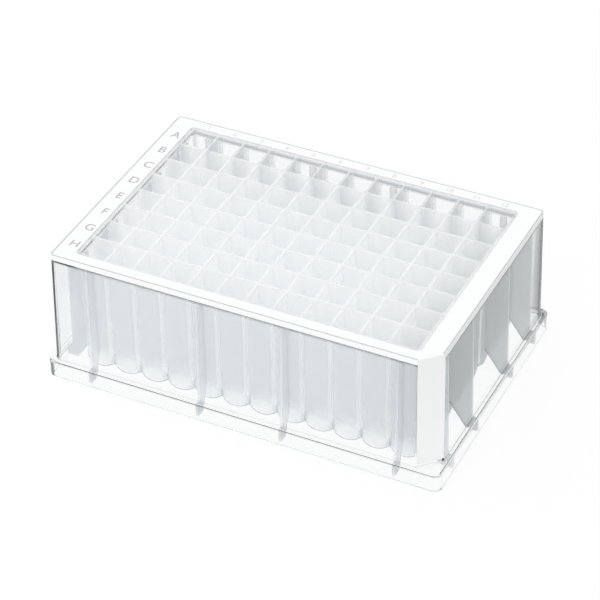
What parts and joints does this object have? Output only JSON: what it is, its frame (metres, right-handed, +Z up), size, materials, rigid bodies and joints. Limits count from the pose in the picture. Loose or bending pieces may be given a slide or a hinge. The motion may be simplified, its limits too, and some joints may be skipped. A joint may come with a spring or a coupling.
{
  "type": "deep well plate",
  "caption": "Clear deep-well plate with square round-bottomed wells, a skirt with a base flange, a white top border and a cut corner.",
  "frame": {"origin": "centre of the footprint, on the surface the plate stands on", "axes": "+X from column 1 towards column 12, +Y from row H towards row A, +Z up out of the wells"},
  "size_m": [0.1278, 0.0854, 0.044],
  "materials": {
    "plate": "clear to milky moulded polypropylene, smooth and glossy",
    "border": "opaque white moulded plastic, satin",
    "print": "thin grey print"
  },
  "bodies": {
    "root": {"plate": "plate", "border": "border"}
  },
  "joints": []
}
